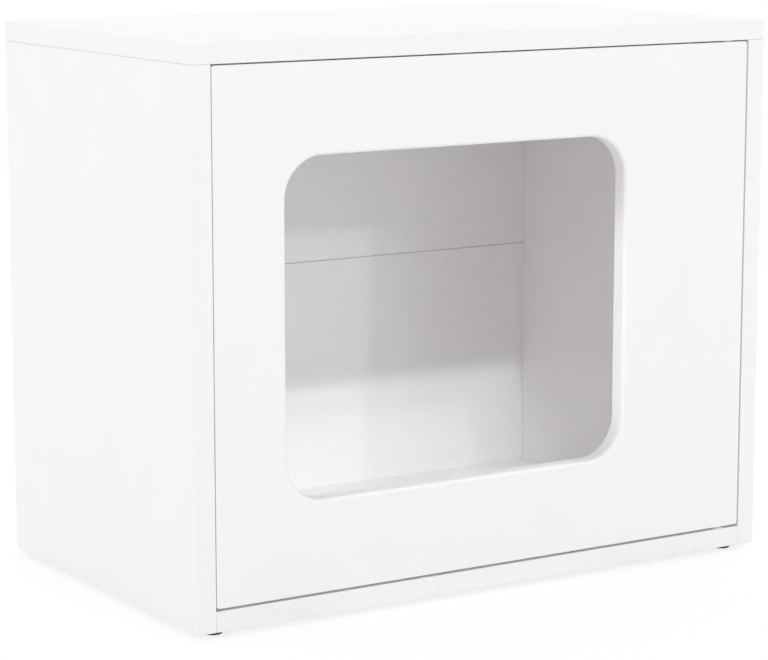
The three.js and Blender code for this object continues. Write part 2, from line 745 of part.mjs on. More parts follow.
function addCatchHousing() {
  const middle = [CATCH_WALL_X + CATCH_PROJECTION / 2, CATCH_FRONT + CATCH_DEPTH / 2, CATCH_Z];
  const body = box([CATCH_PROJECTION, CATCH_DEPTH, CATCH_BODY_LENGTH], CATCH_SOFTENING);
  body.translate(...middle);
  const ears = box([CATCH_EAR_THICKNESS, CATCH_EAR_DEPTH, CATCH_LENGTH], CATCH_SOFTENING);
  ears.translate(CATCH_WALL_X + CATCH_EAR_THICKNESS / 2, EAR_MIDDLE_Y, CATCH_Z);
  const pocketWidth = STACK_THICKNESS + 2 * HOLE_CLEARANCE;
  const pocketLength = POLE_LENGTH + 2 * HOLE_CLEARANCE;
  const pocket = new THREE.BoxGeometry(pocketWidth, 2 * POCKET_DEPTH, pocketLength);
  pocket.translate(STRIKE_X, CATCH_FRONT, CATCH_Z);
  const geometry = cut(join(body, ears), [pocket, ...catchScrewCutters()]);
  addMesh("catch_housing", geometry.translate(...middle.map((v) => -v)), "nylon", middle);
}

function addCatch() {
  addCatchHousing();
  const magnetDepth = POCKET_DEPTH - 2 * HOLE_CLEARANCE;
  const magnet = new THREE.BoxGeometry(MAGNET_THICKNESS, magnetDepth, MAGNET_LENGTH);
  addMesh("catch_magnet", magnet, "ferrite", [STRIKE_X, CATCH_FRONT + POCKET_DEPTH / 2, CATCH_Z]);
  const poleDepth = POCKET_DEPTH + POLE_PROUD - HOLE_CLEARANCE;
  const poleOffset = MAGNET_THICKNESS / 2 + STACK_CLEARANCE + POLE_THICKNESS / 2;
  for (const [name, sign] of [["outer", -1], ["inner", 1]]) {
    const plate = new THREE.BoxGeometry(POLE_THICKNESS, poleDepth, POLE_LENGTH);
    const at = [STRIKE_X + sign * poleOffset, POLE_FRONT + poleDepth / 2, CATCH_Z];
    addMesh(`catch_pole_plate_${name}`, plate, "steel", at);
  }
  for (const [name, point] of catchScrewPoints()) {
    addMesh(`catch_screw_${name}`, screw(CATCH_SCREW_LENGTH), "steel", point, RIGHTWARDS);
  }
}

function addStrike() {
  const plate = box([STRIKE_WIDTH, STRIKE_THICKNESS, STRIKE_LENGTH], STRIKE_SOFTENING);
  const middle = [STRIKE_X, STRIKE_BACK - STRIKE_THICKNESS / 2, CATCH_Z];
  const hole = placed(screwCutter(STRIKE_SCREW_LENGTH), STRIKE_POINT, BACKWARDS);
  const geometry = cut(plate, [hole.translate(...middle.map((v) => -v))]);
  addMesh("strike_plate", geometry, "steel", middle, UP.toArray(), door);
  const fixing = screw(STRIKE_SCREW_LENGTH);
  addMesh("strike_screw", fixing, "steel", STRIKE_POINT, BACKWARDS, door);
}

// ---- Assembly ----

addTopPanel();
addBottomPanel();
addSidePanels();
addBackBoards();
addFeet();
JOINTS.forEach(addCamBolt);
JOINTS.forEach(addCam);
JOINTS.forEach(addDowel);
addDoor();
addPivots();
addCatch();
addStrike();

export default cabinet;
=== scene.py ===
import json
import math

import bmesh
import bpy
from mathutils import Matrix, Vector

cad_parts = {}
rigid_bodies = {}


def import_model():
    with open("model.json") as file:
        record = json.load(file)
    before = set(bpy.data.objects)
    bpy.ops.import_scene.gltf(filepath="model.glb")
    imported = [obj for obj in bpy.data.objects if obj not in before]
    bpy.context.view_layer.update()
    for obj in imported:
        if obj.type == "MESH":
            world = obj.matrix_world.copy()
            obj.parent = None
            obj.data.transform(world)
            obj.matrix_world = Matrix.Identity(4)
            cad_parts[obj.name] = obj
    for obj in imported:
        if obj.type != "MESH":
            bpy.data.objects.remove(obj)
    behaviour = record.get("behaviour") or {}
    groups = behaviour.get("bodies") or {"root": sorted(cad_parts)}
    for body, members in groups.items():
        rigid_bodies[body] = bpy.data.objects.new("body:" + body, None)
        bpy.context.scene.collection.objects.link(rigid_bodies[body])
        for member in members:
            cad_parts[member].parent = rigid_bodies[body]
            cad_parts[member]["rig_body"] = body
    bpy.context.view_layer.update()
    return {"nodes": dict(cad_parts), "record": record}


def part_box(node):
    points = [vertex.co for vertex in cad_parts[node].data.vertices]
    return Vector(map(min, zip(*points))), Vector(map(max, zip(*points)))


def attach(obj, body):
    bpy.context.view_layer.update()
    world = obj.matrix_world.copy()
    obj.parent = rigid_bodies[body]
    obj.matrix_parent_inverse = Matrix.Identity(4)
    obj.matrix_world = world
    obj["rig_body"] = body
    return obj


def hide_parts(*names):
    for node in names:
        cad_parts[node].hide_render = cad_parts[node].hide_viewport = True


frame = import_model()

MM = 0.001
X = Vector((1, 0, 0))
Y = Vector((0, 1, 0))
Z = Vector((0, 0, 1))
SLOT_COLOUR = {entry["slot"]: entry["base_color"] for entry in frame["record"]["materials"]}

# ---- Driving sizes, in millimetres ----

# Boards
BOARD_ROUNDING = 0.5  # along every edge of a thick board
BOARD_CORNER = 0.5  # at the corners of a board's outline
BAND_THICKNESS = 1.0  # edge band, whose joint shows as a fine line in the board's face
BAND_LINE_WIDTH = 0.16
BAND_LINE_DEPTH = 0.08
BACK_ROUNDING = 0.15

# Door and its entrance, which is placed by the frame left around it
DOOR_CORNER = 2.5
DOOR_ROUNDING = 0.35
LEFT_STILE = 69.2
RIGHT_STILE = 138.2
LOWER_RAIL = 81.7
UPPER_RAIL = 78.7
ENTRANCE_CORNER = 37.0
ENTRANCE_FRONT_ROUNDING = 3.5
ENTRANCE_BACK_ROUNDING = 1.5

# Fittings
CLEARANCE = 0.1
CUT_PAST = 1.0
SCREW_HEAD_RADIUS = 3.0
SCREW_HEAD_DEPTH = 1.6
SCREW_RIM = (0.20, 0.12)  # heights of the head's rim below its face
SCREW_RIM_CHAMFERS = (0.05, 0.10)  # how far the rim draws in below and above
SCREW_SHANK_RADIUS = 1.5
SCREW_NECK_RADIUS = 1.35
SCREW_NECK_LENGTH = 0.4
SCREW_CORE_RADIUS = 1.2
SCREW_PLAIN_LENGTH = 1.0  # between the head's cone and the thread
SCREW_TIP = 3.0
SCREW_POINT_RADIUS = 0.25
SCREW_POINT_LENGTH = 0.15
SCREW_THREAD_START = 0.2  # from the tip's cone to the first ring of the thread
SCREW_PITCH = 1.35
SCREW_RIDGE = 0.35
SCREW_RECESS_WIDTH = 3.4
SCREW_RECESS_SLOT = 0.75
SCREW_RECESS_DEPTH = 1.3
RECESS_FLOOR_SHARE = 0.35  # of a cross recess's width, left at its floor
RECESS_ARM_TAPER = 0.25  # share of an arm's thickness that tapers with the width
FINE_CHAMFER = 0.3  # on cams, bolts and bushes
CAM_RADIUS = 7.4
CAM_RECESS_WIDTH = 9.0
CAM_RECESS_SLOT = 1.5
CAM_RECESS_DEPTH = 1.8
CAM_BOLT_DEPTH = 8.8  # from the cam's face to the bolt's axis
CAM_WINDOW_RADIUS = 3.5
CAM_WINDOW_BACK = 2.0
CAM_RIM = 0.35
CAM_BORDER = 1.1  # raised round the cam's face
CAM_FACE_DROP = 0.25  # of the face inside its border
BOLT_HEAD_RADIUS = 3.0
BOLT_HEAD_LENGTH = 3.0
BOLT_HEAD_CHAMFER = 0.5
BOLT_HEAD_RIM = 1.0  # from the head's end to its cone
BOLT_NECK_RADIUS = 1.8
BOLT_NECK_LENGTH = 5.0
BOLT_SHANK_RADIUS = 3.0
BOLT_THREAD_RADIUS = 2.6
BOLT_THREAD_START = 0.05  # from the shank to the first ring of the thread
BOLT_THREAD_END = 1.5  # from the tip to the last ring of the thread
BOLT_RUNOUT = 1.0  # from the tip to where the thread's ridge ends
BOLT_TIP_SHARE = 0.4  # of the core's radius, left at the tip
BOLT_TIP_LENGTH = 0.1
BOLT_PITCH = 1.6
BOLT_RIDGE = 0.55
BOLT_TO_JOINT = 25.5  # from the head's end to the joint of the two boards
DOWEL_RADIUS = 4.0
DOWEL_CHAMFER = 0.8
DOWEL_FLUTES = 14
DOWEL_FLUTE_DEPTH = 0.22
DOWEL_FLUTE_SHARPNESS = 3
FOOT_HEIGHT = 4.9
FOOT_ROUNDING = 0.8
FOOT_UPPER_CHAMFER = 0.4
FOOT_DISH_DEPTH = 0.6  # of the dish in the foot's underside
FOOT_DISH_BORDER = 3.0  # from the foot's edge to the dish
FOOT_PEG_RADIUS = 3.0
FOOT_BARBS = 4
FOOT_BARB_DEPTH = 0.35
FOOT_BARB_START = 0.4  # from the foot's pad to its first barb
FOOT_BARB_RISE = 0.2
FOOT_BARB_GAP = 0.1
FOOT_PEG_TIP = 1.0  # past the barbs
FOOT_TIP_CHAMFER = 0.9
PIN_RADIUS = 2.5
PIN_CHAMFER = 0.5
PIN_END_CHAMFER = 0.2  # inside the door
PIN_TIP_BREAK = 0.35  # height of the break in the tip's chamfer above its start
BUSH_RADIUS = 4.5
BUSH_BORE = 2.57
BUSH_FLANGE = 0.7
BUSH_END_CHAMFER = 0.4
WASHER_BORE = 2.7
WASHER_BORE_CHAMFER = 0.2
WASHER_CHAMFER = 0.25
CATCH_EAR = 3.0
CATCH_EAR_DEPTH = 11.0
CATCH_BODY_LENGTH = 28.0
CATCH_ROUNDING = 0.8
CATCH_POCKET = (9.4, 13.5, 20.4)
PLATE_ROUNDING = 0.2
STRIKE_CORNER = 2.0

# Steps round a quarter or a full circle
CORNER_STEPS = 3
ENTRANCE_STEPS = 24
ROUNDING_STEPS = 4
ENTRANCE_ROUNDING_STEPS = 10
TURNED_STEPS = 48
THREAD_STEPS = 16
THREAD_RINGS = 6  # per pitch
STEPS_PER_FLUTE = 6
SMOOTH_ANGLE = math.radians(40)
BAND_JOINT_MARK = 0.3  # how much of an arris's rubbing the joint of the edge band shows
FLAT_FACE_WEIGHT = 100

QUARTER = math.pi / 2


# ---- Materials ----

FIRST_COLOUR, SECOND_COLOUR, MIXED_COLOUR = 6, 7, 2  # sockets of a mix node that mixes colours


class Look:
    """A material with one principled shader, and short calls for the nodes that feed it."""

    def __init__(self, name, **constants):
        self.material = bpy.data.materials.new(name)
        self.material.use_nodes = True
        self.tree = self.material.node_tree
        self.shader = self.tree.nodes["Principled BSDF"]
        for socket, value in constants.items():
            self.shader.inputs[socket.replace("_", " ")].default_value = value
        self.place = self.node("ShaderNodeTexCoord").outputs["Object"]

    def feed(self, socket, value):
        if isinstance(value, bpy.types.NodeSocket):
            self.tree.links.new(value, socket)
        else:
            socket.default_value = value

    def node(self, kind, inputs=None, **settings):
        made = self.tree.nodes.new(kind)
        for name, value in settings.items():
            setattr(made, name, value)
        for socket, value in (inputs or {}).items():
            self.feed(made.inputs[socket], value)
        return made

    def noise(self, size, detail=2.0, stretch=(1, 1, 1)):
        """Noise with features of about a size in millimetres, drawn out along each axis."""
        scale = [1 / (size * MM * factor) for factor in stretch]
        mapping = self.node("ShaderNodeMapping", {"Vector": self.place, "Scale": scale})
        inputs = {"Vector": mapping.outputs["Vector"], "Scale": 1.0, "Detail": detail}
        return self.node("ShaderNodeTexNoise", inputs).outputs["Fac"]

    def spread(self, value, low, high, start=0.3, end=0.7):
        """The value's stretch from start to end, laid out from low to high."""
        inputs = {"Value": value, "From Min": start, "From Max": end, "To Min": low, "To Max": high}
        return self.node("ShaderNodeMapRange", inputs).outputs["Result"]

    def times(self, first, second):
        return self.node("ShaderNodeMath", {0: first, 1: second}, operation="MULTIPLY").outputs[0]

    def blend(self, factor, first, second):
        """One colour where the factor is 0 and another where it is 1."""
        mix = self.node("ShaderNodeMix", {0: factor}, data_type="RGBA")
        for index, colour in ((FIRST_COLOUR, first), (SECOND_COLOUR, second)):
            value = colour if isinstance(colour, bpy.types.NodeSocket) else (*colour, 1.0)
            self.feed(mix.inputs[index], value)
        return mix.outputs[MIXED_COLOUR]

    def edge(self):
        """1 on the arrises that the mesh code marks, and 0 on flat faces."""
        return self.node("ShaderNodeAttribute", attribute_name="edge").outputs["Fac"]

    def finish(self, colour, roughness, height, depth):
        """Feeds the shader. The depth is the bump's height in millimetres."""
        bump = self.node("ShaderNodeBump", {"Strength": 1.0, "Distance": depth * MM, "Height": height})
        self.feed(self.shader.inputs["Base Color"], colour)
        self.feed(self.shader.inputs["Roughness"], roughness)
        self.feed(self.shader.inputs["Normal"], bump.outputs["Normal"])
        return self.material


def shade(colour, factor):
    return tuple(channel * factor for channel in colour)


def white_board(name, slot, gloss, pearl_size, pearl_depth):
    """A smooth white facing: faint clouds, a fine pearl and slightly rubbed edges."""
    look = Look(name, IOR=1.46)
    base = SLOT_COLOUR[slot]
    clouds = look.spread(look.noise(90, 3.0), 0.0, 1.0)
    plain = look.blend(clouds, shade(base, 0.988), base)
    rubbed = look.times(look.edge(), look.spread(look.noise(7, 3.0), 0.0, 0.5, 0.45, 0.7))
    colour = look.blend(rubbed, plain, shade(base, 0.93))
    smears = look.spread(look.noise(35, 4.0, (1, 1, 2.5)), *gloss)
    pearl = look.noise(pearl_size, 1.5)
    return look.finish(colour, smears, pearl, pearl_depth)


def edge_band():
    """The plastic band on a board's narrow sides: fine lines along its length."""
    look = Look("white_edge_band", IOR=1.5)
    base = SLOT_COLOUR["white_board"]
    streaks = look.spread(look.noise(0.5, 2.0, (40, 40, 40)), 0.0, 1.0)
    plain = look.blend(streaks, shade(base, 0.985), base)
    rubbed = look.times(look.edge(), look.spread(look.noise(5, 3.0), 0.0, 0.5, 0.45, 0.7))
    colour = look.blend(rubbed, plain, shade(base, 0.94))
    gloss = look.spread(look.noise(20, 3.0), 0.34, 0.46)
    return look.finish(colour, gloss, look.noise(2.2, 1.0), 0.004)


def raw_board(name, light, dark, size):
    """Bare chips or fibres, as in a drilled hole or on a thin board's uncovered edge."""
    look = Look(name)
    chips = look.spread(look.noise(size, 4.0, (1.8, 1.8, 1)), 0.0, 1.0)
    colour = look.blend(chips, dark, light)
    rough = look.spread(look.noise(size * 2, 2.0), 0.75, 0.95)
    return look.finish(colour, rough, chips, 0.12)


def moulded_plastic(name, slot, gloss, grain_size, grain_depth, **constants):
    look = Look(name, IOR=1.5, **constants)
    base = SLOT_COLOUR[slot]
    flow = look.spread(look.noise(6, 3.0), 0.0, 1.0)
    colour = look.blend(flow, shade(base, 0.86), shade(base, 1.12))
    rough = look.spread(look.noise(2.2, 2.0), *gloss)
    return look.finish(colour, rough, look.noise(grain_size, 2.0), grain_depth)


def metal(name, slot, gloss, line_size, line_stretch, depth):
    """Plated or cast metal: fine lines or blotches, duller in patches."""
    look = Look(name, Metallic=1.0)
    base = SLOT_COLOUR[slot]
    lines = look.noise(line_size, 3.0, line_stretch)
    patches = look.spread(look.noise(3.5, 4.0), 0.0, 1.0)
    tone = look.blend(look.spread(lines, 0.0, 1.0), shade(base, 0.82), shade(base, 1.1))
    colour = look.blend(look.times(patches, 0.35), tone, shade(base, 0.78))
    rough = look.spread(patches, *gloss, 0.0, 1.0)
    return look.finish(colour, rough, lines, depth)


def bare_beech():
    """Beech along the piece's own Z: drawn-out grain with short darker flecks."""
    look = Look("bare_beech")
    base = SLOT_COLOUR["beech"]
    grain = look.spread(look.noise(0.7, 4.0, (1, 1, 14)), 0.0, 1.0)
    flecks = look.spread(look.noise(0.35, 1.0, (1, 2, 7)), 0.0, 1.0, 0.6, 0.72)
    wood = look.blend(grain, shade(base, 0.8), shade(base, 1.12))
    colour = look.blend(look.times(flecks, 0.6), wood, shade(base, 0.55))
    rough = look.spread(grain, 0.62, 0.8, 0.0, 1.0)
    return look.finish(colour, rough, grain, 0.06)


def sintered_ferrite():
    look = Look("sintered_ferrite")
    base = SLOT_COLOUR["ferrite"]
    grit = look.spread(look.noise(0.25, 3.0), 0.0, 1.0)
    colour = look.blend(grit, shade(base, 0.7), shade(base, 1.5))
    rough = look.spread(look.noise(1.5, 3.0), 0.55, 0.85)
    return look.finish(colour, rough, grit, 0.03)


MELAMINE = white_board("white_melamine", "white_board", (0.40, 0.54), 2.4, 0.006)
FOIL = white_board("white_door_foil", "door_board", (0.36, 0.48), 3.2, 0.006)
LACQUER = white_board("white_back_lacquer", "back_board", (0.50, 0.66), 1.8, 0.006)
BAND = edge_band()
CHIPS = raw_board("raw_chipboard", (0.50, 0.36, 0.22), (0.27, 0.17, 0.09), 1.6)
FIBRES = raw_board("painted_fibreboard_edge", (0.72, 0.70, 0.68), (0.52, 0.49, 0.46), 0.35)
RUBBER = moulded_plastic("dark_moulded_plastic", "foot_plastic", (0.5, 0.68), 0.35, 0.03)
NYLON = moulded_plastic("natural_nylon", "nylon", (0.38, 0.52), 0.5, 0.012)
STEEL = metal("zinc_plated_steel", "steel", (0.24, 0.42), 0.12, (1, 1, 18), 0.006)
ZINC = metal("cast_zinc", "zinc", (0.36, 0.58), 0.45, (1, 1, 1), 0.02)
BEECH = bare_beech()
FERRITE = sintered_ferrite()


# ---- Mesh code ----
# Shapes are made in millimetres about their own origin, and a piece's matrix puts them in place.

def rounded_rectangle(half_width, half_height, radius, steps):
    """Points round a rectangle about the origin, anticlockwise, with the same count at each corner."""
    points = []
    for corner, (sx, sy) in enumerate(((1, 1), (-1, 1), (-1, -1), (1, -1))):
        for step in range(steps + 1):
            angle = QUARTER * (corner + step / steps)
            x = sx * (half_width - radius) + radius * math.cos(angle)
            y = sy * (half_height - radius) + radius * math.sin(angle)
            points.append((x, y))
    return points


def rounding(radius, steps):
    """[inset, drop] pairs from a flat face round an edge to its side."""
    pairs = []
    for step in range(steps + 1):
        angle = QUARTER * step / steps
        pairs.append((radius * (1 - math.sin(angle)), radius * (1 - math.cos(angle))))
    return pairs


def add_rings(mesh, rings, closed=False):
    """Quads between rings of points that all go round the same way. Returns the rings' vertices."""
    levels = [[mesh.verts.new(point) for point in ring] for ring in rings]
    follow = levels[1:] + (levels[:1] if closed else [])
    for near, far in zip(levels, follow):
        for i in range(len(near)):
            j = (i + 1) % len(near)
            mesh.faces.new((near[i], near[j], far[j], far[i]))
    return levels


def add_loft(mesh, rings):
    """A closed solid through rings, with a flat face at each end."""
    levels = add_rings(mesh, rings)
    mesh.faces.new(tuple(reversed(levels[0])))
    mesh.faces.new(tuple(levels[-1]))
    return levels


def add_turned(mesh, profile, steps, shape=None, matrix=Matrix()):
    """A solid of revolution about Z. The profile's (radius, height) pairs start and end on the axis,
    or it closes on itself when it never reaches the axis. shape changes a radius by its angle."""
    open_ended = profile[0][0] > 0
    rings = []
    for radius, height in profile if open_ended else profile[1:-1]:
        ring = []
        for step in range(steps):
            angle = 4 * QUARTER * step / steps
            out = radius + (shape(radius, height, angle) if shape else 0)
            ring.append(matrix @ Vector((out * math.cos(angle), out * math.sin(angle), height)))
        rings.append(ring)
    if open_ended:
        add_rings(mesh, rings, closed=True)
        return
    levels = add_rings(mesh, rings)
    for pole, level, flip in ((profile[0], levels[0], True), (profile[-1], levels[-1], False)):
        centre = mesh.verts.new(matrix @ Vector((0, 0, pole[1])))
        for i in range(steps):
            pair = (level[i], level[(i + 1) % steps])
            mesh.faces.new((*(reversed(pair) if flip else pair), centre))


def add_rounded_box(mesh, size, radius, at=(0, 0, 0), corner=None, steps=CORNER_STEPS):
    """A box of a size about a point, rounded along every edge. corner rounds its outline in X and Y."""
    half = [value / 2 for value in size]
    outline = max(radius, corner or radius)
    rings = []
    for inset, drop in rounding(radius, steps):
        rings.append((inset, half[2] - drop))
    for inset, drop in reversed(rounding(radius, steps)):
        rings.append((inset, drop - half[2]))
    lofted = []
    for inset, height in reversed(rings):
        points = rounded_rectangle(half[0] - inset, half[1] - inset, outline, steps)
        lofted.append([(x + at[0], y + at[1], height + at[2]) for x, y in points])
    add_loft(mesh, lofted)


def ridge(pitch, depth, low, high):
    """A helical thread between two heights, which runs out over one pitch at each end."""
    def shape(radius, height, angle):
        phase = (height / pitch - angle / (4 * QUARTER)) % 1
        runout = min(1, max(0, (height - low) / pitch), max(0, (high - height) / pitch))
        return depth * runout * max(0, 1 - abs(2 * phase - 1) * 2)
    return shape


def threaded_profile(radius, low, high, pitch):
    """Close rings along a threaded stretch."""
    count = math.ceil((high - low) / pitch * THREAD_RINGS)
    return [(radius, low + (high - low) * i / count) for i in range(count + 1)]


def to_mesh(mesh, name, looks):
    mesh.normal_update()
    data = bpy.data.meshes.new(name)
    mesh.to_mesh(data)
    mesh.free()
    data.transform(Matrix.Scale(MM, 4))
    for look in looks:
        data.materials.append(look)
    return data


def new_object(name, data, matrix=Matrix()):
    piece = bpy.data.objects.new(name, data)
    piece.matrix_world = matrix
    bpy.context.scene.collection.objects.link(piece)
    return piece


def apply_modifiers(piece):
    graph = bpy.context.evaluated_depsgraph_get()
    data = bpy.data.meshes.new_from_object(piece.evaluated_get(graph))
    piece.modifiers.clear()
    piece.data = data


def cut_away(piece, cutter):
    """Takes the cutter's volume from the piece. The walls of the cut keep the cutter's material."""
    bpy.context.view_layer.update()
    modifier = piece.modifiers.new("cut", "BOOLEAN")
    modifier.object = cutter
    modifier.operation = "DIFFERENCE"
    modifier.solver = "EXACT"
    modifier.material_mode = "TRANSFER"
    apply_modifiers(piece)


def join_with(piece, other):
    bpy.context.view_layer.update()
    modifier = piece.modifiers.new("join", "BOOLEAN")
    modifier.object = other
    modifier.operation = "UNION"
    modifier.solver = "EXACT"
    apply_modifiers(piece)
    bpy.data.objects.remove(other)


def coat(piece, look):
    """One look all over the piece, on the walls of its holes too."""
    for i in range(len(piece.data.materials)):
        piece.data.materials[i] = look


def smooth(piece):
    """Soft shading over the roundings, with flat faces kept flat."""
    data = piece.data
    data.polygons.foreach_set("use_smooth", [True] * len(data.polygons))
    data.set_sharp_from_angle(angle=SMOOTH_ANGLE)
    modifier = piece.modifiers.new("flat faces", "WEIGHTED_NORMAL")
    modifier.weight = FLAT_FACE_WEIGHT
    modifier.keep_sharp = True


def dress(piece, node):
    """The piece stands for its CAD node, on the node's body."""
    smooth(piece)
    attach(piece, frame["nodes"][node]["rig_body"])
    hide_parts(node)


# ---- Places of the CAD nodes ----

def box_mm(node):
    low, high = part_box(node)
    return low / MM, high / MM


def stand(node, axis, side=None):
    """The matrix that lays a shape's +Z along an axis, with its origin in the middle of the
    node's last face along that axis. side gives the direction of the shape's +X."""
    low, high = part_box(node)
    centre = (low + high) / 2
    reach = abs((high - low).dot(axis)) / 2
    across = side or (Y if abs(axis.dot(Y)) < 0.5 else X)
    turn = Matrix((across, axis.cross(across), axis)).transposed().to_4x4()
    return Matrix.Translation(centre + axis * reach) @ turn


def length_along(node, axis):
    low, high = box_mm(node)
    return abs((high - low).dot(axis))


SIDE_SIGN = {"left": -1, "right": 1}
BACK_SCREWS = sorted(node for node in frame["nodes"] if node.startswith("back_screw_"))
JOINT_NAMES = sorted(node.removeprefix("dowel_") for node in frame["nodes"] if node.startswith("dowel_"))
FEET = sorted(node for node in frame["nodes"] if node.startswith("foot_"))


def bolt_axis(joint):
    """The direction from a cam to the board that takes its bolt's thread."""
    level, side, _ = joint.split("_")
    return Z if level == "top" else X * SIDE_SIGN[side]


def cam_axis(joint):
    """The direction in which a cam's face looks."""
    level, side, _ = joint.split("_")
    return X * -SIDE_SIGN[side] if level == "top" else -Z


SCREW_AXES = {node: Y for node in [*BACK_SCREWS, "strike_screw"]}
SCREW_AXES.update({"catch_screw_upper": X, "catch_screw_lower": X})
PIN_AXES = {"upper": Z, "lower": -Z}


# ---- Holes ----

def add_hole(mesh, node, axis, profile):
    """A turned cavity at a node's place, in the row frame."""
    matrix = stand(node, axis)
    matrix.translation = matrix.translation / MM
    add_turned(mesh, profile, TURNED_STEPS, matrix=matrix)


def plain_hole(radius, depth, past=CUT_PAST):
    radius += CLEARANCE
    return [(0, -depth - CLEARANCE), (radius, -depth - CLEARANCE), (radius, past), (0, past)]


def screw_hole(length):
    shank = SCREW_SHANK_RADIUS + SCREW_RIDGE
    head = SCREW_HEAD_RADIUS + CLEARANCE
    profile = [(0, -length - CLEARANCE), (shank, -length - CLEARANCE)]
    profile += [(shank, -SCREW_HEAD_DEPTH), (head, 0), (head, CUT_PAST), (0, CUT_PAST)]
    return profile


def carcass_cavities():
    """All holes for the fittings of the fixed boards, as one cutter."""
    mesh = bmesh.new()
    for joint in JOINT_NAMES:
        node = f"cam_{joint}"
        axis = cam_axis(joint)
        add_hole(mesh, node, axis, plain_hole(CAM_RADIUS, length_along(node, axis)))
        node = f"dowel_{joint}"
        length = length_along(node, bolt_axis(joint))
        add_hole(mesh, node, bolt_axis(joint), plain_hole(DOWEL_RADIUS, length, CLEARANCE))
        add_bolt_hole(mesh, joint)
    for node, axis in SCREW_AXES.items():
        if node != "strike_screw":
            add_hole(mesh, node, axis, screw_hole(length_along(node, axis)))
    for level, axis in PIN_AXES.items():
        node = f"{level}_pivot_bush"
        add_hole(mesh, node, axis, plain_hole(BUSH_RADIUS, length_along(node, axis), CLEARANCE))
    for node in FEET:
        peg = length_along(node, Z) - FOOT_HEIGHT
        add_hole(mesh, node, Z, plain_hole(FOOT_PEG_RADIUS, peg + CUT_PAST, CLEARANCE))
    return new_object("carcass_cavities", to_mesh(mesh, "carcass_cavities", [CHIPS]))


def add_bolt_hole(mesh, joint):
    node = f"cam_bolt_{joint}"
    axis = bolt_axis(joint)
    length = length_along(node, axis)
    meet = BOLT_TO_JOINT - length
    wide = BOLT_SHANK_RADIUS + CLEARANCE
    narrow = BOLT_THREAD_RADIUS + CLEARANCE
    profile = [(0, -length - CLEARANCE), (wide, -length - CLEARANCE), (wide, meet)]
    profile += [(narrow, meet), (narrow, CLEARANCE), (0, CLEARANCE)]
    add_hole(mesh, node, axis, profile)


def door_cavities():
    mesh = bmesh.new()
    for level, axis in PIN_AXES.items():
        node = f"{level}_pivot_pin"
        add_hole(mesh, node, axis, plain_hole(PIN_RADIUS, length_along(node, axis)))
    add_hole(mesh, "strike_screw", Y, screw_hole(length_along("strike_screw", Y)))
    return new_object("door_cavities", to_mesh(mesh, "door_cavities", [CHIPS]))


# ---- Boards ----

def board_mesh(name, size, radius, corner, line, looks):
    """A flat board with its large faces at +Z and -Z. line adds the joint of the edge band, and the
    second material goes on the narrow sides outside it."""
    half = [value / 2 for value in size]
    pairs = [(inset, drop, 1.0) for inset, drop in rounding(radius, ROUNDING_STEPS)]
    if line:
        start = BAND_THICKNESS + BAND_LINE_WIDTH
        middle = BAND_THICKNESS + BAND_LINE_WIDTH / 2
        joint = [(start, 0, 0.0), (middle, BAND_LINE_DEPTH, 0.0), (BAND_THICKNESS, 0, BAND_JOINT_MARK)]
        pairs = joint + pairs
    levels = [(inset, half[2] - drop, mark) for inset, drop, mark in pairs]
    levels += [(inset, -height, mark) for inset, height, mark in reversed(levels)]
    mesh = bmesh.new()
    mark_layer = mesh.verts.layers.float.new("edge")
    rings = []
    for inset, height, _ in reversed(levels):
        points = rounded_rectangle(half[0] - inset, half[1] - inset, corner, CORNER_STEPS)
        rings.append([(x, y, height) for x, y in points])
    made = add_loft(mesh, rings)
    for ring, (_, _, mark) in zip(made, reversed(levels)):
        for vertex in ring:
            vertex[mark_layer] = mark
    margin = BAND_THICKNESS if line else radius
    for face in mesh.faces:
        centre = face.calc_center_median()
        outside = abs(centre.x) > half[0] - margin or abs(centre.y) > half[1] - margin
        face.material_index = 1 if outside else 0
    return to_mesh(mesh, name, looks)


def lay(centre, normal, across):
    """The matrix of a board whose large faces look along a normal."""
    turn = Matrix((across, normal.cross(across), normal)).transposed().to_4x4()
    return Matrix.Translation(centre) @ turn


def make_board(node, normal, across, cavities, slot="white_board"):
    low, high = box_mm(node)
    extent = high - low
    other = normal.cross(across)
    size = [abs(extent.dot(axis)) for axis in (across, other, normal)]
    thin = slot == "back_board"
    looks = [LACQUER, FIBRES] if thin else [MELAMINE, BAND]
    radius = BACK_ROUNDING if thin else BOARD_ROUNDING
    data = board_mesh(node, size, radius, BOARD_CORNER, not thin, looks)
    piece = new_object(f"{node}_finished", data, lay((low + high) / 2 * MM, normal, across))
    cut_away(piece, cavities)
    dress(piece, node)


def make_carcass(cavities):
    for node in ("top_panel", "bottom_panel"):
        make_board(node, Z, X, cavities)
    for node in ("left_side_panel", "right_side_panel"):
        make_board(node, X, Y, cavities)
    for node in ("upper_back_board", "lower_back_board"):
        make_board(node, -Y, X, cavities, "back_board")


# ---- Door ----

def entrance_mm():
    """The box of the entrance at its narrowest, as deep as the door."""
    low, high = box_mm("door_panel")
    low += Vector((LEFT_STILE, 0, LOWER_RAIL))
    high -= Vector((RIGHT_STILE, 0, UPPER_RAIL))
    return low, high


